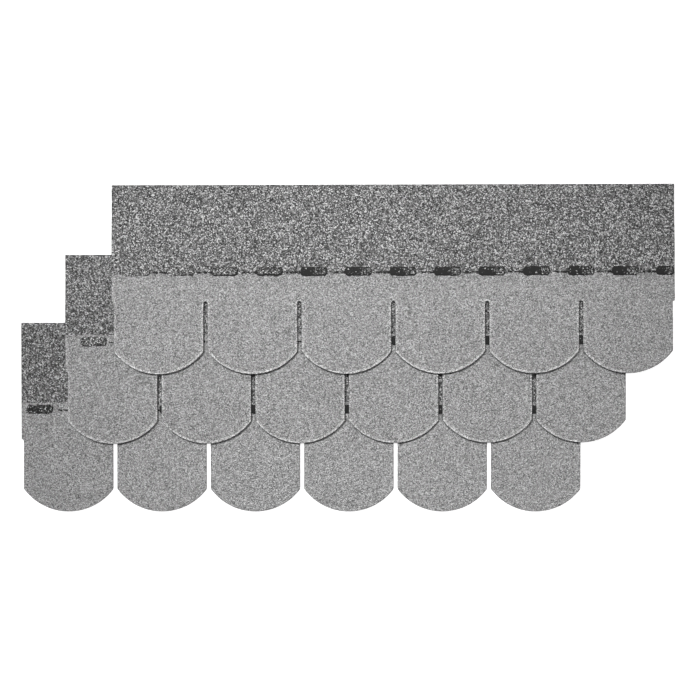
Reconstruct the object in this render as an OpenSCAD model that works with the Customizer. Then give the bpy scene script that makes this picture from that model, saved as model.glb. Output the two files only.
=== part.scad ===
// Three round-tab asphalt shingle strips, fanned one over another in the offset they are laid in.
// X runs along the strips, Y from the tab tips up to the headlap, Z up from the floor they lie on.
// The origin is under the middle of the whole fan, on the floor.
// Each strip follows what it lies on: past the top edge of the strip below, it bends down by one layer.

/* [Strip] */
// Length of each strip
strip_length = 1000; // [900:10:1200]
// Height of each strip, from the tab tips to the top edge
strip_height = 336; // [280:1:410]
// Thickness of the felt with the granules on its face
strip_thickness = 3; // [2:0.1:5]

/* [Tabs] */
// Number of tabs along each strip
tab_count = 6; // [4:1:8]
// Width of the slot between two tabs, with half of it cut from each end of the strip
slot_width = 8; // [4:0.5:12]
// Height of each slot's round top above the tab tips
slot_height = 129; // [110:1:150]
// Height of the rounded end of each tab
tab_round_height = 40; // [25:1:50]

/* [Lay] */
// Height of the lower strip that shows below the middle one, at their left ends
middle_rise = 120.5; // [100:0.5:150]
// Height of the middle strip that shows below the upper one, at their left ends
upper_rise = 124; // [100:0.5:150]
// How far the middle strip is set along from the lower one
middle_shift = 80; // [40:0.5:110]
// How far the upper strip is set along from the middle one
upper_shift = 82.5; // [40:0.5:110]
// Turn of the middle strip about its lower left corner, in degrees
middle_skew = 0.2; // [0:0.01:0.5]
// Turn of the upper strip about its lower left corner, in degrees
upper_skew = 0.16; // [0:0.01:0.5]
// Length over which a strip bends down past the top edge of a strip below it
bend_run = 90; // [40:1:120]

/* [Seal dabs] */
// Length of each adhesive dab along the strip
dab_length = 49; // [30:1:60]
// Width of each dab
dab_width = 17.5; // [10:0.5:24]
// Thickness of each dab, which is also the gap that it keeps between two strips
dab_thickness = 0.6; // [0.3:0.1:1.5]
// Radius of each dab's corners
dab_corner = 4; // [1:0.5:5]
// Distance from one dab to the next
dab_pitch = 79; // [65:1:100]
// Height of the row of dabs above the tab tips
dab_row_height = 182; // [165:1:200]
// Start of the first dab on the lower strip, from the strip's left end
lower_dab_start = 8; // [0:1:60]
// Start of the first dab on the middle strip, from the strip's left end
middle_dab_start = 25; // [0:1:60]
// Start of the first dab on the upper strip, from the strip's left end
upper_dab_start = 19; // [0:1:60]

/* [Hidden] */

tab_pitch = strip_length / tab_count;
tab_half_width = (tab_pitch - slot_width) / 2;
tab_radius = (pow(tab_half_width, 2) + pow(tab_round_height, 2)) / (2 * tab_round_height);
body_start = min(tab_radius, slot_height);

// Place and turn of each strip, and the start of its dabs, from the lower strip to the upper one.
shifts = [0, middle_shift, middle_shift + upper_shift];
rises = [0, middle_rise, middle_rise + upper_rise];
skews = [0, middle_skew, upper_skew];
dab_starts = [lower_dab_start, middle_dab_start, upper_dab_start];

fan_width = shifts[2] + strip_length * cos(upper_skew) - slot_height * sin(upper_skew);
fan_depth = rises[2] + strip_length * sin(upper_skew) + strip_height * cos(upper_skew);

layer_rise = strip_thickness + dab_thickness;
bend_step = bend_run / 18;
margin = 10;

granule_grey = [0.55, 0.55, 0.55];
bitumen_black = [0.1, 0.1, 0.1];

$fn = 96;

// The furthest that a strip's top edge reaches up the fan, where what lies on it starts to bend down.
function top_edge(level) =
    rises[level] + strip_height * cos(skews[level]) + strip_length * sin(skews[level]);

// Share of a layer that is left this far past the top edge of the strip below.
function still_raised(past) =
    past <= 0 ? 1 : past >= bend_run ? 0 : (1 + cos(180 * past / bend_run)) / 2;

// Height above the floor of a strip's underside, at y up the fan, with this many strips below it.
function underside(level, y) =
    level == 0 ? 0
    : layer_rise * still_raised(y - top_edge(level - 1)) + underside(level - 1, y);

// Places up the fan where a layer's section has a point, close together from the first bend on.
function stations(level) =
    let (bent = top_edge(level) - top_edge(0), steps = floor(bent / bend_step) + 1)
    concat(
        [rises[level] - margin],
        level == 0 ? [top_edge(0) + margin] : [for (i = [0:steps]) top_edge(0) + i * bend_step]
    );

// The section across a layer, between two heights above the strip's underside.
module section(level, bottom, top) {
    ys = stations(level);
    lower_line = [for (y = ys) [y, underside(level, y) + bottom]];
    upper_line = [for (i = [len(ys) - 1:-1:0]) [ys[i], underside(level, ys[i]) + top]];
    polygon(concat(lower_line, upper_line));
}

// A sheet that follows what the strip lies on, cut to the strip's own outline given as its child.
module draped(level, bottom, top) {
    translate([-fan_width / 2, -fan_depth / 2, 0])
        intersection() {
            translate([-margin, 0, 0])
                rotate([90, 0, 90])
                    linear_extrude(fan_width + 2 * margin)
                        section(level, bottom, top);
            translate([shifts[level], rises[level], -margin])
                rotate([0, 0, skews[level]])
                    linear_extrude(3 * layer_rise + 2 * margin)
                        children();
        }
}

// One slot between two tabs, with its round top.
module slot_outline() {
    translate([-slot_width / 2, -margin])
        square([slot_width, slot_height - slot_width / 2 + margin]);
    translate([0, slot_height - slot_width / 2])
        circle(slot_width / 2);
}

// The die-cut outline of a whole strip, from its lower left corner.
module strip_outline() {
    intersection() {
        square([strip_length, strip_height]);
        difference() {
            union() {
                translate([-margin, body_start])
                    square([strip_length + 2 * margin, strip_height]);
                for (i = [0:tab_count - 1])
                    translate([(i + 0.5) * tab_pitch, tab_radius])
                        circle(tab_radius);
            }
            for (i = [0:tab_count])
                translate([i * tab_pitch, 0])
                    slot_outline();
        }
    }
}

// One dab with rounded corners, from its left end.
module dab_outline() {
    for (x = [dab_corner, dab_length - dab_corner], y = [-1, 1])
        translate([x, y * (dab_width / 2 - dab_corner)])
            circle(dab_corner);
    translate([0, dab_corner - dab_width / 2])
        square([dab_length, dab_width - 2 * dab_corner]);
    translate([dab_corner, -dab_width / 2])
        square([dab_length - 2 * dab_corner, dab_width]);
}

// The row of dabs along a strip, the last one cut off by the strip's end.
module dab_row_outline(level) {
    intersection() {
        square([strip_length, strip_height]);
        translate([0, dab_row_height])
            for (x = [dab_starts[level]:dab_pitch:strip_length])
                translate([x, 0])
                    dab_outline();
    }
}

module shingle(level) {
    color(granule_grey)
        draped(level, 0, strip_thickness)
            strip_outline();
}

module seal_dabs(level) {
    color(bitumen_black)
        draped(level, strip_thickness, layer_rise)
            dab_row_outline(level);
}

module lower_shingle() { shingle(0); }
module middle_shingle() { shingle(1); }
module upper_shingle() { shingle(2); }
module lower_seal_dabs() { seal_dabs(0); }
module middle_seal_dabs() { seal_dabs(1); }
module upper_seal_dabs() { seal_dabs(2); }

lower_shingle();
middle_shingle();
upper_shingle();
lower_seal_dabs();
middle_seal_dabs();
upper_seal_dabs();
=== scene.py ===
"""Looks for three round-tab asphalt shingle strips, fanned one over another in their laid offset.

Each strip is a bitumen felt core under two coats of mineral granules: a pale, fine blend on the part
that shows on a roof, and a dark, coarse one on the headlap. A row of bitumen seal dabs lies where the two
blends meet.
Lengths are in metres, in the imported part's own frame. A strip's own plan has s along it from its left
end, and t up it from the tips of its tabs.
"""

import math

import bpy
import numpy as np
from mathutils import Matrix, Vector
from mathutils.geometry import delaunay_2d_cdt


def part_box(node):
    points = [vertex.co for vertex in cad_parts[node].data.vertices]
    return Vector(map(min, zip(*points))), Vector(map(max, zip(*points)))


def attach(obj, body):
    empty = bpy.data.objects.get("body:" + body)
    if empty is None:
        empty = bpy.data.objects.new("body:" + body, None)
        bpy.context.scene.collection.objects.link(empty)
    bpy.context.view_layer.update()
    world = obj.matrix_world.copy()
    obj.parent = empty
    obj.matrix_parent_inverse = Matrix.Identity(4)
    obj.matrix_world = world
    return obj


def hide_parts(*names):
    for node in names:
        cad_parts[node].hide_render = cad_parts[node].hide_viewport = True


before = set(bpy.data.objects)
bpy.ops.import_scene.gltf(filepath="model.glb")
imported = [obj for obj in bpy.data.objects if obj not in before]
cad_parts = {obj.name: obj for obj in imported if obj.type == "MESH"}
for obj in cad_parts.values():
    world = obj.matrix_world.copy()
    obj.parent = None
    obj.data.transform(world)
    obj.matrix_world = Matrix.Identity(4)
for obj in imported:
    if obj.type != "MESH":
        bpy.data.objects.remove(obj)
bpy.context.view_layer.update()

LEVELS = ("lower", "middle", "upper")

# The die-cut outline that the strips share, and the layer that each one lies on.
TAB_COUNT = 6
SLOT_WIDTH = 0.008
SLOT_TOP = 0.129
TAB_ROUND = 0.040
BEND_RUN = 0.090
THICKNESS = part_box("lower_shingle")[1].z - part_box("lower_shingle")[0].z
LAYER_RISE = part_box("middle_shingle")[1].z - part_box("lower_shingle")[1].z
DAB_THICKNESS = LAYER_RISE - THICKNESS

# The granule coats on the felt. The line between the two blends wanders by each (turn, amount).
BLEND_LINES = {"lower": 0.194, "middle": 0.1935, "upper": 0.1775}
BLEND_WANDERS = ((0.004, 0.0007), (0.040, 0.0005))
BLEND_SEED = 400
COAT_DEPTH = 0.0009
COAT_OVERLAP = 0.0001
COAT_CHAMFER = 0.0003
COAT_RAGGEDNESS = 0.0001
TAB_RELIEF = 0.00045
HEADLAP_RELIEF = 0.00055

# A cut edge over another strip has a painted highlight: it is painted pale to the first depth inside it,
# and fades out by the second. Above the tabs' rounded ends it is only that share as pale.
HIGHLIGHT_DEPTH = 0.0022
HIGHLIGHT_LIMIT = 0.0045
SLOT_HIGHLIGHT_SHARE = 0.5

# The felt core's section, as (outset, share of its height) from its top rim down, and its roughness.
CORE_SECTION = ((0.0002, 1.0), (0.0005, 0.85), (0.0005, 0.6), (0.0004, 0.35), (0.0003, 0.12), (0.0, 0.0))
CORE_RAGGEDNESS = 0.00012
SAND_RELIEF = 0.00012

# The row of seal dabs, whose outline wanders in turns of two lengths. A profile is the height of the rim
# and of the crown, as shares of the dabs' thickness.
DAB_LENGTH = 0.049
DAB_CORNER = 0.0065
DAB_PITCH = 0.079
DAB_TURNS = (0.003, 0.009)
DAB_RAGGEDNESS = 0.0006
FIRST_RAGGEDNESS = 0.0009
DAB_PROFILE = (0.2, 0.9)
BLOB_SHOULDER = 0.004
BLOB_WRINKLE = 0.06
BLOB_SINK = 0.0004
STRIP_END_INSET = 0.0004

# The threads of bitumen between the dabs, which wander by a (turn, amount) and have a profile too.
THREAD_DROP = 0.0014
THREAD_WANDER = (0.004, 0.0006)
THREAD_PROFILE = (0.1, 0.5)

# The least and the most of a thread's random sizes, with the swell as a share of its width.
THREAD_LENGTHS = (0.007, 0.016)
THREAD_WIDTHS = (0.0032, 0.0050)
THREAD_SWELL = (0.55, 1.25)
THREAD_GAPS = (0.0006, 0.004)

# How far the first thread runs under its dab, and the room that the threads between two dabs leave.
THREAD_OVERLAP = 0.001
THREAD_CLEARANCE = 0.003
SHORTEST_RUN = 0.004

# The share of a dab that stray granules cover. They dust the first dabs from the left end most, and the
# others more at the right than at the left. On the first dabs the grey cover is partly painted sheen, the
# light their glossy bitumen would reflect.
FIRST_DUSTING_AND_SHEEN = {"lower": (0.3,), "middle": (0.75,), "upper": (0.95, 0.85, 0.7, 0.6)}
FIRST_RIMS = {"lower": (0.0002,), "middle": (0.0006,), "upper": (0.0, 0.0004, 0.0016, 0.0022)}
FIRST_RIM_SHARE = 0.6
FIRST_CORNER_RIM = 0.002
FIRST_RIM_FADE = 0.0010
LEFT_DUSTING = {"lower": 0.02, "middle": 0.03, "upper": 0.06}
RIGHT_DUSTING = {"lower": 0.08, "middle": 0.30, "upper": 0.50}
DUSTING_RISE_START = 0.45
DUSTING_RISE_RUN = 0.3
BARE_RIM = 0.0014
BARE_RIM_FADE = 0.0012
THREAD_DUSTING = 0.03

# The spacing of the meshes' points, and how far they are moved at random, as a share of it.
COARSE = 1.0
FINE_STEP = 0.0015
HIDDEN_STEP = 0.008
UNDER_STEP = 0.012
CORE_EDGE_STEP = 0.002
CORE_TOP_STEP = 0.010
CORE_SAND_STEP = 0.006
DAB_STEP = 0.0012
THREAD_STEP = 0.0011
FACE_JITTER = 0.32
SAND_JITTER = 0.25
HIDDEN_JITTER = 0.1

# How far inside an outline the points of a face stay, which for a coat is a share of their spacing.
EDGE_SHARE = 0.6
CORE_TOP_MARGIN = 0.004
CORE_SAND_MARGIN = 0.003

# How far under the strip above it a face still has its full detail.
SEEN_SPARE = 0.006

# Guards against a length of nothing, and the distance at which the triangulation merges points.
TINY_LENGTH = 1e-9
TINY_SQUARE = 1e-12
MERGE_DISTANCE = 1e-7


class Strip:
    """Where one packed strip lies, read from its node."""

    def __init__(self, number):
        self.number = number
        self.level = LEVELS[number]
        self.node = self.level + "_shingle"
        self.dab_node = self.level + "_seal_dabs"
        points = node_points(self.node)
        left = points[np.argmax(points[:, 1] - points[:, 0])]
        right = points[np.argmax(points[:, 1] + points[:, 0])]
        self.length = math.hypot(*(right - left))
        self.along = (right - left) / self.length
        self.up = np.array([-self.along[1], self.along[0]])
        self.height = np.ptp(points @ self.up)
        self.corner = left - self.height * self.up
        self.pitch = self.length / TAB_COUNT
        self.half_tab = (self.pitch - SLOT_WIDTH) / 2
        self.tab_radius = (self.half_tab**2 + TAB_ROUND**2) / (2 * TAB_ROUND)
        dabs = node_points(self.dab_node) - self.corner
        self.dab_start = (dabs @ self.along).min()
        self.dab_width = np.ptp(dabs @ self.up)
        self.dab_row = (dabs @ self.up).min() + self.dab_width / 2
        self.edges_below = [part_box(LEVELS[i] + "_shingle")[1].y for i in range(number)]

    def underside(self, y):
        """Height of the strip's underside above the floor, which drops past each top edge below it."""
        height = np.zeros_like(y)
        for edge in self.edges_below:
            past = np.clip((y - edge) / BEND_RUN, 0, 1)
            height += LAYER_RISE * (1 + np.cos(math.pi * past)) / 2
        return height

    def place(self, points):
        """Points (s, t, height above the underside) of the strip, in the row frame."""
        plan = self.corner + points[:, :1] * self.along + points[:, 1:2] * self.up
        height = self.underside(plan[:, 1]) + points[:, 2]
        return np.column_stack([plan, height])

    def inside(self, s, t):
        """How far each point lies inside the outline. It is below 0 outside."""
        across = np.abs((s % self.pitch) - self.pitch / 2)
        slot_centre = SLOT_TOP - SLOT_WIDTH / 2
        round_top = np.hypot(self.pitch / 2 - across, np.maximum(t - slot_centre, 0)) - SLOT_WIDTH / 2
        tab_end = self.tab_radius - np.hypot(across, t - self.tab_radius)
        edge = np.where(t < self.tab_radius, np.minimum(round_top, tab_end), round_top)
        sides = np.minimum(s, self.length - s)
        return np.minimum(np.minimum(edge, sides), self.height - t)


def node_points(name):
    """The plan points of a CAD node."""
    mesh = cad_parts[name].data
    points = np.empty(len(mesh.vertices) * 3, np.float32)
    mesh.vertices.foreach_get("co", points)
    return points.reshape(-1, 3)[:, :2].astype(float)


# Outlines and point fields.


def arc(centre, radius, start, end, steps=24):
    """Points on an arc, with its two angles in degrees."""
    angles = np.radians(np.linspace(start, end, steps + 1))
    return np.asarray(centre) + radius * np.column_stack([np.cos(angles), np.sin(angles)])


def walk(points, step):
    """The same line with its points about one step apart."""
    lengths = np.hypot(*np.diff(points, axis=0).T)
    along = np.concatenate([[0], np.cumsum(lengths)])
    stops = np.linspace(0, along[-1], max(2, round(along[-1] / step)) + 1)
    return np.column_stack([np.interp(stops, along, points[:, i]) for i in (0, 1)])


def tab_line(strip, step):
    """The cut edge along all the tabs, from the left end to the right one."""
    round_radius = SLOT_WIDTH / 2
    slot_centre = SLOT_TOP - round_radius
    swing = math.degrees(math.asin(strip.half_tab / strip.tab_radius))
    pieces = []
    for i in range(TAB_COUNT):
        left, right = i * strip.pitch, (i + 1) * strip.pitch
        middle = ((left + right) / 2, strip.tab_radius)
        pieces.append(arc((left, slot_centre), round_radius, 90, 0))
        pieces.append(arc(middle, strip.tab_radius, 270 - swing, 270 + swing, 96))
        pieces.append(arc((right, slot_centre), round_radius, 180, 90))
    return walk(np.vstack(pieces), step)


def wander(rng, along, turn, amount):
    """A random offset along a line, with a new turn after each stretch of one length."""
    knots = np.arange(along.min() - turn, along.max() + 2 * turn, turn)
    return np.interp(along, knots, rng.uniform(-amount, amount, len(knots)))


def blend_line(strip, step):
    """The ragged line across the strip where one granule blend meets the other."""
    rng = np.random.default_rng(BLEND_SEED + strip.number)
    s = np.linspace(0, strip.length, round(strip.length / step) + 1)
    t = np.full(len(s), BLEND_LINES[strip.level])
    for turn, amount in BLEND_WANDERS:
        t = t + wander(rng, s, turn, amount)
    return np.column_stack([s, t])


def side_line(start, end, step):
    """A straight edge without its first and last points."""
    return walk(np.array([start, end]), step)[1:-1]


def whole_loop(strip, step):
    """The outline of a whole strip, anticlockwise."""
    edge = tab_line(strip, step)
    top_left, top_right = (0, strip.height), (strip.length, strip.height)
    return np.vstack([
        edge,
        side_line(edge[-1], top_right, step),
        walk(np.array([top_right, top_left]), step),
        side_line(top_left, edge[0], step),
    ])


def tab_loop(strip, step):
    """The outline of the part with tabs, up to the blend line, anticlockwise."""
    edge, top = tab_line(strip, step), blend_line(strip, step)[::-1]
    return np.vstack([
        edge,
        side_line(edge[-1], top[0], step),
        top,
        side_line(top[-1], edge[0], step),
    ])


def headlap_loop(strip, step):
    """The outline of the headlap, from the blend line to the top edge, anticlockwise."""
    bottom = blend_line(strip, step)
    top_left, top_right = (0, strip.height), (strip.length, strip.height)
    return np.vstack([
        bottom,
        side_line(bottom[-1], top_right, step),
        walk(np.array([top_right, top_left]), step),
        side_line(top_left, bottom[0], step),
    ])


def loop_normals(loop):
    """The outward direction at each point of an anticlockwise loop."""
    ahead = np.roll(loop, -1, axis=0) - np.roll(loop, 1, axis=0)
    ahead /= np.maximum(np.hypot(*ahead.T), TINY_LENGTH)[:, None]
    return np.column_stack([ahead[:, 1], -ahead[:, 0]])


def scatter(rng, step, s_range, t_range, jitter=FACE_JITTER):
    """Points over a rectangle in loose rows, each second row set over by half a step."""
    row_step = step * math.sqrt(3) / 2
    s, t = np.meshgrid(np.arange(*s_range, step), np.arange(*t_range, row_step))
    s = s + np.where(np.arange(len(s)) % 2, step / 2, 0)[:, None]
    points = np.column_stack([s.ravel(), t.ravel()])
    return points + rng.uniform(-jitter, jitter, points.shape) * step


# Meshes.


def triangulate(loop, inner):
    """Triangles over a loop and the points inside it, each facing up."""
    points = np.vstack([loop, inner])
    count = len(loop)
    edges = [(i, (i + 1) % count) for i in range(count)]
    found = delaunay_2d_cdt([Vector(p) for p in points], edges, [], 1, MERGE_DISTANCE)
    first = np.array([ids[0] for ids in found[3]])
    faces = first[np.array(found[2])]
    a, b, c = (points[faces[:, i]] for i in range(3))
    turn = (b[:, 0] - a[:, 0]) * (c[:, 1] - a[:, 1]) - (b[:, 1] - a[:, 1]) * (c[:, 0] - a[:, 0])
    faces[turn < 0] = faces[turn < 0][:, ::-1]
    return faces


def slab(loop, rows, top, bottom):
    """A closed sheet. Rows are (outset, height) from the rim of the top face to the rim of the bottom one.

    Top and bottom are the inner points (s, t, height) of those two faces.
    """
    normals = loop_normals(loop)
    count = len(loop)
    rings = [
        np.column_stack([loop + np.reshape(outset, (-1, 1)) * normals, np.broadcast_to(height, count)])
        for outset, height in rows
    ]
    walls = []
    here = np.arange(count)
    after = np.roll(here, -1)
    for i in range(len(rings) - 1):
        above, below = i * count, (i + 1) * count
        walls.append(np.column_stack([above + here, below + here, below + after]))
        walls.append(np.column_stack([above + here, below + after, above + after]))
    last = (len(rings) - 1) * count
    top_start = len(rings) * count
    bottom_start = top_start + len(top)
    top_faces = triangulate(rings[0][:, :2], top[:, :2])
    top_faces = np.where(top_faces < count, top_faces, top_faces - count + top_start)
    bottom_faces = triangulate(rings[-1][:, :2], bottom[:, :2])[:, ::-1]
    bottom_faces = np.where(bottom_faces < count, bottom_faces + last, bottom_faces - count + bottom_start)
    points = np.vstack([*rings, top, bottom])
    return points, np.vstack([*walls, top_faces, bottom_faces])


def join(parts):
    """Several closed sheets as one set of points and faces."""
    starts = np.cumsum([0] + [len(points) for points, _ in parts])
    points = np.vstack([points for points, _ in parts])
    return points, np.vstack([faces + start for (_, faces), start in zip(parts, starts)])


def add_piece(strip, name, part, material, node, attributes=None):
    """A flat-shaded mesh piece from points in the strip's plan, which stands for a CAD node."""
    points, faces = part
    mesh = bpy.data.meshes.new(name)
    mesh.vertices.add(len(points))
    mesh.vertices.foreach_set("co", strip.place(points).astype(np.float32).ravel())
    mesh.loops.add(faces.size)
    mesh.loops.foreach_set("vertex_index", faces.astype(np.int32).ravel())
    mesh.polygons.add(len(faces))
    mesh.polygons.foreach_set("loop_start", np.arange(0, faces.size, 3, dtype=np.int32))
    mesh.polygons.foreach_set("use_smooth", np.zeros(len(faces), bool))
    mesh.update(calc_edges=True)
    for key, values in (attributes or {}).items():
        made = mesh.attributes.new(key, "FLOAT", "POINT")
        made.data.foreach_set("value", values.astype(np.float32))
    mesh.materials.append(material)
    piece = bpy.data.objects.new(name, mesh)
    bpy.context.scene.collection.objects.link(piece)
    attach(piece, "root")
    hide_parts(node)


# Materials.


def new_material(name):
    """A material with only its output, and its tree."""
    material = bpy.data.materials.new(name)
    material.use_nodes = True
    tree = material.node_tree
    tree.nodes.clear()
    return material, tree


def add(tree, kind, inputs=None, **settings):
    """A shader node. Inputs are values or the sockets that feed them."""
    node = tree.nodes.new("ShaderNode" + kind)
    for key, value in settings.items():
        setattr(node, key, value)
    for key, value in (inputs or {}).items():
        if isinstance(value, bpy.types.NodeSocket):
            tree.links.new(value, node.inputs[key])
        else:
            node.inputs[key].default_value = value
    return node


def maths(tree, operation, *values):
    """One sum on two or three numbers or sockets."""
    return add(tree, "Math", dict(enumerate(values)), operation=operation).outputs[0]


def grey(value):
    """An opaque grey."""
    return (value, value, value, 1.0)


def ramp(tree, factor, stops):
    """A grey ramp from (position, grey) stops."""
    node = add(tree, "ValToRGB", {"Fac": factor})
    band = node.color_ramp
    while len(band.elements) < len(stops):
        band.elements.new(0.5)
    for element, (position, value) in zip(band.elements, stops):
        element.position = position
        element.color = grey(value)
    return node.outputs["Color"]


def mix(tree, factor, first, second):
    """A mix of two colours. The node's colour sockets are its inputs 6 and 7 and its output 2."""
    node = add(tree, "Mix", {0: factor, 6: first, 7: second}, data_type="RGBA")
    return node.outputs[2]


# Granules. A blend is (position, grey) stops of how their greys are shared out, which each strip has paler
# or darker by its own share. A cell is the size of one granule, and a mottle how far the tone drifts.
TAB_BLEND = ((0.0, 0.05), (0.3, 0.16), (0.7, 0.26), (1.0, 0.45))
TAB_SHARES = {"lower": 1.04, "middle": 1.0, "upper": 1.0}
# How much paler each strip's tab edges over another strip are painted: a painted highlight.
TAB_HIGHLIGHT_GAINS = {"lower": 0.0, "middle": 0.6, "upper": 0.7}
TAB_CELL = 0.0014
TAB_MOTTLE = 0.05
HEADLAP_BLEND = ((0.0, 0.01), (0.4, 0.06), (0.75, 0.2), (1.0, 0.55))
HEADLAP_SHARES = {"lower": 0.88, "middle": 0.88, "upper": 0.97}
HEADLAP_CELL = 0.0017
HEADLAP_MOTTLE = 0.08
MOTTLE_SCALE = 28.0
GRAIN_RELIEF = 0.4
GRANULE_BUMP = 0.8
GRANULE_ROUGHNESS = (0.55, 0.95)
GRANULE_SPECULAR = 0.3

# The felt. Its sand shows from the first of two upward parts of the normal, and is full at the second.
SAND_CELL = 0.0008
SAND_BLEND = ((0.0, 0.02), (0.5, 0.06), (0.85, 0.12), (1.0, 0.25))
SAND_FACING = (-0.5, -0.9)
CUT_BLEND = ((0.3, 0.008), (0.7, 0.03))
CUT_SCALE = 900.0
FELT_ROUGHNESS = 0.7

# The seal bitumen, and the stray granules in it. The palest of these are partly painted glints.
STRAY_CELL = 0.0015
STRAY_AND_GLINT_BLEND = ((0.0, 0.02), (0.6, 0.11), (0.85, 0.25), (1.0, 0.6))
BITUMEN_GREY = 0.016
BITUMEN_ROUGHNESS = 0.55
STRAY_ROUGHNESS = 0.9
BITUMEN_SPECULAR = 0.08
WRINKLE_SCALE = 500.0
WRINKLE_RELIEF = 0.0004

# The floor.
FLOOR_BLEND = ((0.0, 0.30), (1.0, 0.32))
FLOOR_SCALE = 3.0
FLOOR_ROUGHNESS = 0.9
FLOOR_GLOW = 0.95


def scaled(blend, share):
    """A blend of granules that are all paler or darker by a share."""
    return [(position, value * share) for position, value in blend]


def granule_material(name, cell, blend, mottle, highlight_gain):
    """Crushed mineral granules, each with its own grey, under a soft mottling.

    Blend is (position, grey) stops of how the granules' greys are shared out. Along a cut edge that lies
    over another strip the granules are paler by the highlight gain, which is a painted highlight.
    """
    material, tree = new_material(name)
    place = add(tree, "TexCoord").outputs["Object"]
    cells = add(tree, "TexVoronoi", {"Vector": place, "Scale": 1 / cell, "Randomness": 1.0})
    tone = add(tree, "SeparateColor", {"Color": cells.outputs["Color"]})
    stone = ramp(tree, tone.outputs["Red"], blend)
    cloud = add(tree, "TexNoise", {"Vector": place, "Scale": MOTTLE_SCALE, "Detail": 3.0}).outputs["Fac"]
    patch = maths(tree, "MULTIPLY_ADD", cloud, 2 * mottle, 1.0 - mottle)
    # The rim attribute carries the painted highlight along cut edges that lie over another strip.
    rim = add(tree, "Attribute", attribute_name="rim").outputs["Fac"]
    gain = maths(tree, "MULTIPLY_ADD", rim, highlight_gain, 1.0)
    level = maths(tree, "MULTIPLY", patch, gain)
    colour = add(tree, "VectorMath", {0: stone, "Scale": level}, operation="SCALE").outputs[0]
    facets = maths(tree, "MULTIPLY", cells.outputs["Distance"], cell)
    fine = add(tree, "TexNoise", {"Vector": place, "Scale": 4 / cell, "Detail": 2.0}).outputs["Fac"]
    grain = maths(tree, "MULTIPLY", fine, GRAIN_RELIEF * cell)
    relief = maths(tree, "SUBTRACT", grain, facets)
    bump = add(tree, "Bump", {"Height": relief, "Strength": GRANULE_BUMP, "Distance": 1.0})
    smoothest, roughest = GRANULE_ROUGHNESS
    spread = {"Value": tone.outputs["Green"], "To Min": smoothest, "To Max": roughest}
    rough = add(tree, "MapRange", spread)
    shader = add(tree, "BsdfPrincipled", {
        "Base Color": colour,
        "Roughness": rough.outputs["Result"],
        "Normal": bump.outputs["Normal"],
    })
    shader.inputs["Specular IOR Level"].default_value = GRANULE_SPECULAR
    add(tree, "OutputMaterial", {"Surface": shader.outputs["BSDF"]})
    return material


def felt_material(name):
    """The bitumen felt core: a black cut edge, and a fine sanded underside."""
    material, tree = new_material(name)
    place = add(tree, "TexCoord").outputs["Object"]
    sand = add(tree, "TexVoronoi", {"Vector": place, "Scale": 1 / SAND_CELL})
    tone = add(tree, "SeparateColor", {"Color": sand.outputs["Color"]})
    sanded = ramp(tree, tone.outputs["Red"], SAND_BLEND)
    facing = add(tree, "SeparateXYZ", {"Vector": add(tree, "NewGeometry").outputs["Normal"]})
    none_down, all_down = SAND_FACING
    spread = {"Value": facing.outputs["Z"], "From Min": none_down, "From Max": all_down}
    down = add(tree, "MapRange", spread)
    cloud = add(tree, "TexNoise", {"Vector": place, "Scale": CUT_SCALE, "Detail": 3.0}).outputs["Fac"]
    cut = ramp(tree, cloud, CUT_BLEND)
    colour = mix(tree, down.outputs["Result"], cut, sanded)
    bump = add(tree, "Bump", {"Height": maths(tree, "MULTIPLY", sand.outputs["Distance"], -SAND_CELL)})
    shader = add(tree, "BsdfPrincipled", {
        "Base Color": colour,
        "Normal": bump.outputs["Normal"],
        "Roughness": FELT_ROUGHNESS,
    })
    add(tree, "OutputMaterial", {"Surface": shader.outputs["BSDF"]})
    return material


def bitumen_material(name):
    """Black seal bitumen, with stray granules pressed into it. Its palest specks are partly painted glints,
    and on the first dabs the granule cover is partly painted sheen.
    """
    material, tree = new_material(name)
    place = add(tree, "TexCoord").outputs["Object"]
    cells = add(tree, "TexVoronoi", {"Vector": place, "Scale": 1 / STRAY_CELL})
    tone = add(tree, "SeparateColor", {"Color": cells.outputs["Color"]})
    # The dusting attribute is stray granules, and on the first dabs partly painted sheen.
    dusting_and_sheen = add(tree, "Attribute", attribute_name="dusting_and_sheen").outputs["Fac"]
    stuck = maths(tree, "LESS_THAN", tone.outputs["Green"], dusting_and_sheen)
    # The palest stops of the stray blend are partly painted glints on the glossy bitumen.
    stone = ramp(tree, tone.outputs["Red"], STRAY_AND_GLINT_BLEND)
    colour = mix(tree, stuck, grey(BITUMEN_GREY), stone)
    spread = {"Value": stuck, "To Min": BITUMEN_ROUGHNESS, "To Max": STRAY_ROUGHNESS}
    rough = add(tree, "MapRange", spread)
    wrinkle = add(tree, "TexNoise", {"Vector": place, "Scale": WRINKLE_SCALE, "Detail": 3.0}).outputs["Fac"]
    relief = maths(tree, "MULTIPLY", wrinkle, WRINKLE_RELIEF)
    bump = add(tree, "Bump", {"Height": relief, "Distance": 1.0})
    shader = add(tree, "BsdfPrincipled", {
        "Base Color": colour,
        "Roughness": rough.outputs["Result"],
        "Normal": bump.outputs["Normal"],
    })
    shader.inputs["Specular IOR Level"].default_value = BITUMEN_SPECULAR
    add(tree, "OutputMaterial", {"Surface": shader.outputs["BSDF"]})
    return material


def floor_material(name):
    """A plain pale light table, which gives most of its white itself."""
    material, tree = new_material(name)
    place = add(tree, "TexCoord").outputs["Object"]
    cloud = add(tree, "TexNoise", {"Vector": place, "Scale": FLOOR_SCALE}).outputs["Fac"]
    colour = ramp(tree, cloud, FLOOR_BLEND)
    shader = add(tree, "BsdfPrincipled", {"Base Color": colour, "Roughness": FLOOR_ROUGHNESS})
    shader.inputs["Emission Color"].default_value = grey(1.0)
    shader.inputs["Emission Strength"].default_value = FLOOR_GLOW
    add(tree, "OutputMaterial", {"Surface": shader.outputs["BSDF"]})
    return material


# The pieces of one strip.


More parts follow.
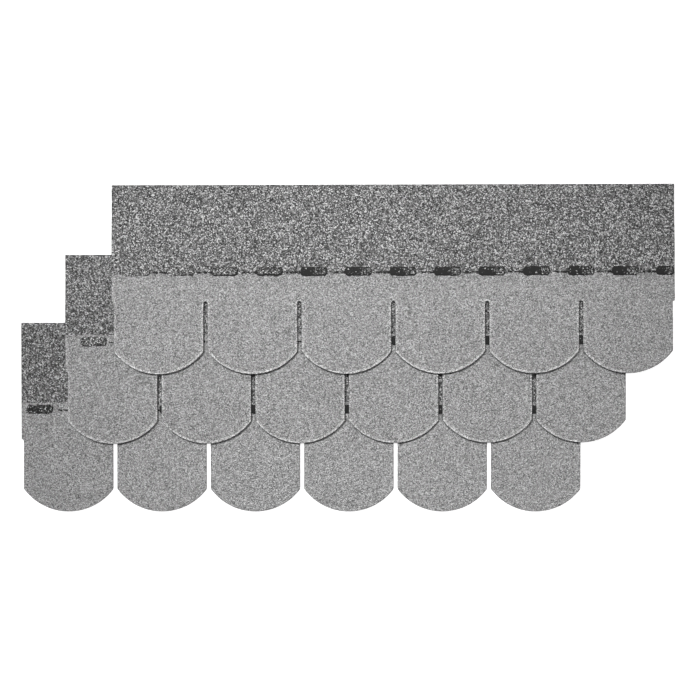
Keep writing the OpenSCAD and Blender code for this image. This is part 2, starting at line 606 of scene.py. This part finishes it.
def painted_highlight(strip, strips, points):
    """The painted highlight on the cut edge at each point: most on the tabs' ends, and 0 where no strip
    lies below.
    """
    plan = strip.corner + points[:, :1] * strip.along + points[:, 1:2] * strip.up
    rests = np.zeros(len(points), bool)
    for other in strips[:strip.number]:
        there = plan - other.corner
        rests |= other.inside(there @ other.along, there @ other.up) > 0
    depth = strip.inside(points[:, 0], points[:, 1])
    share = np.where(points[:, 1] < TAB_ROUND, 1.0, SLOT_HIGHLIGHT_SHARE)
    return rests * share * np.clip((HIGHLIGHT_LIMIT - depth) / (HIGHLIGHT_LIMIT - HIGHLIGHT_DEPTH), 0, 1)


def coat(strip, loop, seed, relief, fine):
    """A closed coat of granules over a loop, with a rough face.

    Fine is a function of s and t that tells where the face is seen, so that it gets the full detail.
    """
    fine_step = FINE_STEP * COARSE
    rng = np.random.default_rng(seed)
    low, high = loop.min(axis=0), loop.max(axis=0)
    ranges = [(low[i] - fine_step, high[i] + fine_step) for i in (0, 1)]
    points = scatter(rng, fine_step, *ranges)
    seen = fine(points[:, 0], points[:, 1])
    hidden = scatter(rng, HIDDEN_STEP, *ranges)
    hidden = hidden[~fine(hidden[:, 0], hidden[:, 1])]
    points = np.vstack([points[seen], hidden])
    points = points[in_coat(strip, loop, points, fine_step)]
    heights = THICKNESS - relief / 2 + rng.uniform(-0.5, 0.5, len(points)) * relief
    under = scatter(rng, UNDER_STEP, *ranges, jitter=HIDDEN_JITTER)
    under = under[in_coat(strip, loop, under, UNDER_STEP / 2)]
    base = THICKNESS - COAT_DEPTH
    rim = THICKNESS - relief / 2 + rng.uniform(-0.5, 0.2, len(loop)) * relief
    ragged = rng.uniform(-COAT_RAGGEDNESS, COAT_RAGGEDNESS, len(loop))
    rows = [(-COAT_CHAMFER, rim), (0.0, rim - COAT_CHAMFER), (ragged, base)]
    top = np.column_stack([points, heights])
    return slab(loop, rows, top, np.column_stack([under, np.full(len(under), base)]))


def in_coat(strip, loop, points, margin):
    """Which points lie inside the loop of a coat by a share of a margin."""
    inset = EDGE_SHARE * margin
    inside = strip.inside(points[:, 0], points[:, 1]) > inset
    line = np.interp(points[:, 0], *blend_line(strip, FINE_STEP).T)
    if loop[:, 1].min() > SLOT_TOP:
        return inside & (points[:, 1] > line + inset)
    return inside & (points[:, 1] < line - inset)


def core(strip, seed):
    """The closed felt core under the granules, whose rough cut edge stands out a little past them."""
    rng = np.random.default_rng(seed)
    loop = whole_loop(strip, CORE_EDGE_STEP * COARSE)
    top_height = THICKNESS - COAT_DEPTH + COAT_OVERLAP
    rows = [
        (outset + rng.uniform(-CORE_RAGGEDNESS, CORE_RAGGEDNESS, len(loop)), share * top_height)
        for outset, share in CORE_SECTION
    ]
    ranges = ((0, strip.length), (0, strip.height))
    top = scatter(rng, CORE_TOP_STEP, *ranges, jitter=HIDDEN_JITTER)
    top = top[strip.inside(*top.T) > CORE_TOP_MARGIN]
    bottom = scatter(rng, CORE_SAND_STEP * COARSE, *ranges, jitter=SAND_JITTER)
    bottom = bottom[strip.inside(*bottom.T) > CORE_SAND_MARGIN]
    sand = rng.uniform(0, SAND_RELIEF, len(bottom))
    top = np.column_stack([top, np.full(len(top), top_height)])
    return slab(loop, rows, top, np.column_stack([bottom, sand]))


def seen_from_above(strip, strips):
    """A function that tells which points of a strip's face no other strip covers, with some to spare."""
    above = strips[strip.number + 1:]

    def fine(s, t):
        plan = strip.corner + s[:, None] * strip.along + t[:, None] * strip.up
        seen = np.ones(len(s), bool)
        for other in above:
            there = plan - other.corner
            seen &= other.inside(there @ other.along, there @ other.up) < SEEN_SPARE
        return seen

    return fine


def dab_loop(strip, start, length, rng, raggedness):
    """The outline of one dab, anticlockwise from its right end."""
    half = strip.dab_width / 2 - DAB_CORNER
    low, high = strip.dab_row - half, strip.dab_row + half
    left, right = start + DAB_CORNER, start + length - DAB_CORNER
    pieces = [
        arc((right, low), DAB_CORNER, 270, 360),
        arc((right, high), DAB_CORNER, 0, 90),
        arc((left, high), DAB_CORNER, 90, 180),
        arc((left, low), DAB_CORNER, 180, 270),
    ]
    pieces.append(pieces[0][:1])
    loop = walk(np.vstack(pieces), DAB_STEP)[:-1]
    along = np.arange(len(loop)) * DAB_STEP
    offset = sum(wander(rng, along, turn, raggedness) for turn in DAB_TURNS)
    loop += (offset - raggedness)[:, None] * loop_normals(loop)
    return np.minimum(loop, (strip.length - STRIP_END_INSET, strip.height))


def depth_in(loop, points):
    """How far each point lies inside a small loop. It is below 0 outside."""
    ahead = np.roll(loop, -1, axis=0) - loop
    offset = points[:, None, :] - loop[None, :, :]
    share = np.clip((offset * ahead).sum(2) / np.maximum((ahead**2).sum(1), TINY_SQUARE), 0, 1)
    distance = np.hypot(*np.moveaxis(offset - share[..., None] * ahead, 2, 0)).min(1)
    above = loop[:, 1] > points[:, 1:2]
    crosses = above != np.roll(above, -1, axis=1)
    rise = np.where(ahead[:, 1], ahead[:, 1], 1)
    meets = loop[:, 0] + (points[:, 1:2] - loop[:, 1]) * ahead[:, 0] / rise
    inside = (crosses & (points[:, :1] < meets)).sum(1) % 2 == 1
    return np.where(inside, distance, -distance)


def blob(loop, rng, profile, step):
    """A closed blob of bitumen over a loop, from a low rim to a wrinkled crown.

    It is sunk a little into the granules.
    """
    rim, crown = (share * DAB_THICKNESS for share in profile)
    low, high = loop.min(axis=0), loop.max(axis=0)
    points = scatter(rng, step, (low[0], high[0]), (low[1], high[1]))
    depth = depth_in(loop, points)
    kept = depth > 0.5 * step
    points, depth = points[kept], depth[kept]
    swell = np.sqrt(np.clip(depth / BLOB_SHOULDER, 0, 1))
    wrinkle = rng.uniform(-BLOB_WRINKLE, BLOB_WRINKLE, len(points)) * crown
    heights = THICKNESS + rim + (crown - rim) * swell + wrinkle
    rows = [(-0.1 * step, THICKNESS + rim), (0.0, THICKNESS - BLOB_SINK)]
    return slab(loop, rows, np.column_stack([points, heights]), np.empty((0, 3)))


def thread_loop(strip, right, length, width, rng):
    """The ragged outline of a thread of bitumen, anticlockwise. It thins from its right end to its left."""
    s = np.linspace(right - length, right, max(4, round(length / THREAD_STEP)))
    share = (s - s[0]) / length
    middle = strip.dab_row - THREAD_DROP + wander(rng, s, *THREAD_WANDER)
    half = width / 2 * (0.5 + 0.5 * share) * rng.uniform(*THREAD_SWELL, len(s))
    lower = np.column_stack([s, middle - half])
    upper = np.column_stack([s, middle + half])[::-1]
    return np.vstack([lower, upper])


def dab_dusting_and_sheen(strip, number, loop, points, start, length):
    """Share of each point of a dab that stray granules cover: none at its rim, and most at its right.

    The first dabs on a strip are dusted all over, but for a rim that is widest at their lower right. On
    these dabs the grey is partly painted sheen, and the black rim is left without it.
    """
    first = FIRST_DUSTING_AND_SHEEN[strip.level]
    across = np.clip((points[:, 0] - start) / length, 0, 1)
    depth = depth_in(loop, points[:, :2])
    if number < len(first):
        lower = np.clip((strip.dab_row - points[:, 1]) / strip.dab_width + 0.5, 0, 1)
        even = FIRST_RIMS[strip.level][number] * (FIRST_RIM_SHARE + lower)
        rim = even + FIRST_CORNER_RIM * across * lower
        return first[number] * np.clip((depth - rim) / FIRST_RIM_FADE + 0.5, 0, 1)
    rise = np.clip((across - DUSTING_RISE_START) / DUSTING_RISE_RUN, 0, 1)
    left, right = LEFT_DUSTING[strip.level], RIGHT_DUSTING[strip.level]
    cover = left + (right - left) * rise
    return cover * np.clip((depth - BARE_RIM) / BARE_RIM_FADE, 0, 1)


def dab_row(strip, seed):
    """The row of dabs on a strip, with the threads that join them, and each point's dusting, which on the
    first dabs is partly painted sheen.
    """
    rng = np.random.default_rng(seed)
    parts, dusting_and_sheen = [], []
    for number, start in enumerate(np.arange(strip.dab_start, strip.length, DAB_PITCH)):
        length = min(DAB_LENGTH, strip.length - start)
        is_first = number < len(FIRST_DUSTING_AND_SHEEN[strip.level])
        raggedness = FIRST_RAGGEDNESS if is_first else DAB_RAGGEDNESS
        loop = dab_loop(strip, start, length, rng, raggedness)
        part = blob(loop, rng, DAB_PROFILE, DAB_STEP)
        parts.append(part)
        dusting_and_sheen.append(dab_dusting_and_sheen(strip, number, loop, part[0], start, length))
        if number == 0:
            continue
        right, free = start + THREAD_OVERLAP, DAB_PITCH - DAB_LENGTH - THREAD_CLEARANCE
        while free > SHORTEST_RUN:
            length = min(free, rng.uniform(*THREAD_LENGTHS))
            thread = thread_loop(strip, right, length, rng.uniform(*THREAD_WIDTHS), rng)
            part = blob(thread, rng, THREAD_PROFILE, THREAD_STEP)
            parts.append(part)
            dusting_and_sheen.append(np.full(len(part[0]), THREAD_DUSTING))
            gap = rng.uniform(*THREAD_GAPS)
            right -= length + gap
            free -= length + gap
    points, faces = join(parts)
    return (points, faces), np.concatenate(dusting_and_sheen)


def dress(strip, strips, materials):
    """All the pieces of one strip."""
    fine = seen_from_above(strip, strips)
    step = FINE_STEP * COARSE
    seed = 10 * strip.number
    level = strip.level

    felt = core(strip, seed + 1)
    add_piece(strip, level + "_felt_core", felt, materials["felt"], strip.node)

    tabs = coat(strip, tab_loop(strip, step), seed + 2, TAB_RELIEF, fine)
    # The tab coat's rim attribute is the painted highlight along its cut edges. The headlap has none.
    highlight_attributes = {"rim": painted_highlight(strip, strips, tabs[0])}
    tab_name = level + "_tab_granules"
    add_piece(strip, tab_name, tabs, materials[tab_name], strip.node, highlight_attributes)

    headlap = coat(strip, headlap_loop(strip, step), seed + 3, HEADLAP_RELIEF, fine)
    highlight_attributes = {"rim": np.zeros(len(headlap[0]))}
    headlap_name = level + "_headlap_granules"
    add_piece(strip, headlap_name, headlap, materials[headlap_name], strip.node, highlight_attributes)

    # The dusting on the first dabs of the row is partly painted sheen.
    row, dusting_and_sheen = dab_row(strip, seed + 4)
    dust_and_sheen = {"dusting_and_sheen": dusting_and_sheen}
    add_piece(strip, level + "_dab_row", row, materials["bitumen"], strip.dab_node, dust_and_sheen)


def make_materials():
    """The materials by name. Each strip has its own two blends of granules."""
    made = {"felt": felt_material("bitumen_felt"), "bitumen": bitumen_material("seal_bitumen")}
    for level in LEVELS:
        name = level + "_headlap_granules"
        blend = scaled(HEADLAP_BLEND, HEADLAP_SHARES[level])
        made[name] = granule_material(name, HEADLAP_CELL, blend, HEADLAP_MOTTLE, 0.0)
    for level in LEVELS:
        name = level + "_tab_granules"
        blend = scaled(TAB_BLEND, TAB_SHARES[level])
        made[name] = granule_material(name, TAB_CELL, blend, TAB_MOTTLE, TAB_HIGHLIGHT_GAINS[level])
    return made


# The studio.

KEY_PLACE = (-2.7, 3.4, 3.9)
KEY_POWER = 2350.0
SECOND_PLACE = (2.3, 3.7, 3.9)
SECOND_POWER = 680.0
POOL_CENTRE = (0.04, -0.06, 0.0)
POOL_SOFTNESS = 0.45
POOL_ANGLE = math.radians(21)
SOFTBOX_PLACE = (-0.40, 0.28, 2.1)
SOFTBOX_SIZE = (0.30, 0.24)
SOFTBOX_POWER = 1.0
ZENITH_STRENGTH = 0.06
HORIZON_STRENGTH = 0.85
FLOOR_REACH = 4.0
FLOOR_DROP = 0.0002
CAMERA_FOOT = (0.0007, -0.00035, 0.0)
CAMERA_DISTANCE = 2.0
CAMERA_TILT = math.radians(0.73)
CAMERA_LENS = 58.0
CAMERA_SENSOR = 36.0


def add_floor():
    """A wide pale floor just under the part."""
    mesh = bpy.data.meshes.new("studio_floor")
    signs = ((-1, -1), (1, -1), (1, 1), (-1, 1))
    corners = [(x * FLOOR_REACH, y * FLOOR_REACH, 0) for x, y in signs]
    mesh.from_pydata(corners, [], [(0, 1, 2, 3)])
    mesh.materials.append(floor_material("studio_floor_paint"))
    floor = bpy.data.objects.new("studio_floor", mesh)
    floor.location.z = -FLOOR_DROP
    bpy.context.scene.collection.objects.link(floor)


def aim(light, place, target):
    """Links a lamp in and turns it to face a point."""
    lamp = bpy.data.objects.new(light.name, light)
    lamp.location = place
    lamp.rotation_euler = (Vector(target) - Vector(place)).to_track_quat("-Z", "Y").to_euler()
    bpy.context.scene.collection.objects.link(lamp)


def add_pool_lamp(name, place, power):
    """A soft lamp whose pool of light fades towards both ends of the part."""
    light = bpy.data.lights.new(name, "SPOT")
    light.energy = power
    light.shadow_soft_size = POOL_SOFTNESS
    light.spot_size = POOL_ANGLE
    light.spot_blend = 1.0
    aim(light, place, POOL_CENTRE)


def add_softbox():
    """A small, weak softbox almost overhead."""
    light = bpy.data.lights.new("top_softbox", "AREA")
    light.shape = "RECTANGLE"
    light.size, light.size_y = SOFTBOX_SIZE
    light.energy = SOFTBOX_POWER
    aim(light, SOFTBOX_PLACE, (0.0, 0.0, 0.0))


def add_world():
    """A pale surround, with its own strength straight above and at the horizon."""
    world = bpy.data.worlds.new("studio_fill")
    world.use_nodes = True
    tree = world.node_tree
    direction = add(tree, "TexCoord").outputs["Generated"]
    height = add(tree, "SeparateXYZ", {"Vector": direction}).outputs["Z"]
    spread = {"Value": height, "To Min": HORIZON_STRENGTH, "To Max": ZENITH_STRENGTH}
    strength = add(tree, "MapRange", spread)
    tree.links.new(strength.outputs["Result"], tree.nodes["Background"].inputs["Strength"])
    tree.nodes["Background"].inputs["Color"].default_value = grey(1.0)
    bpy.context.scene.world = world


def add_camera():
    """A camera that looks down on the fan, tilted by less than a degree."""
    data = bpy.data.cameras.new("camera")
    data.sensor_width = CAMERA_SENSOR
    data.lens = CAMERA_LENS
    camera = bpy.data.objects.new("camera", data)
    direction = Vector((0.0, math.sin(CAMERA_TILT), math.cos(CAMERA_TILT)))
    camera.location = Vector(CAMERA_FOOT) + CAMERA_DISTANCE * direction
    camera.rotation_euler = (-CAMERA_TILT, 0.0, 0.0)
    bpy.context.scene.collection.objects.link(camera)
    bpy.context.scene.camera = camera


def set_up_studio():
    """The floor, the lights, the surround and the camera."""
    add_floor()
    add_pool_lamp("key_lamp", KEY_PLACE, KEY_POWER)
    add_pool_lamp("second_lamp", SECOND_PLACE, SECOND_POWER)
    add_softbox()
    add_world()
    add_camera()
    bpy.context.scene.view_settings.view_transform = "Standard"


materials = make_materials()
strips = [Strip(number) for number in range(len(LEVELS))]
for strip in strips:
    dress(strip, strips, materials)
set_up_studio()
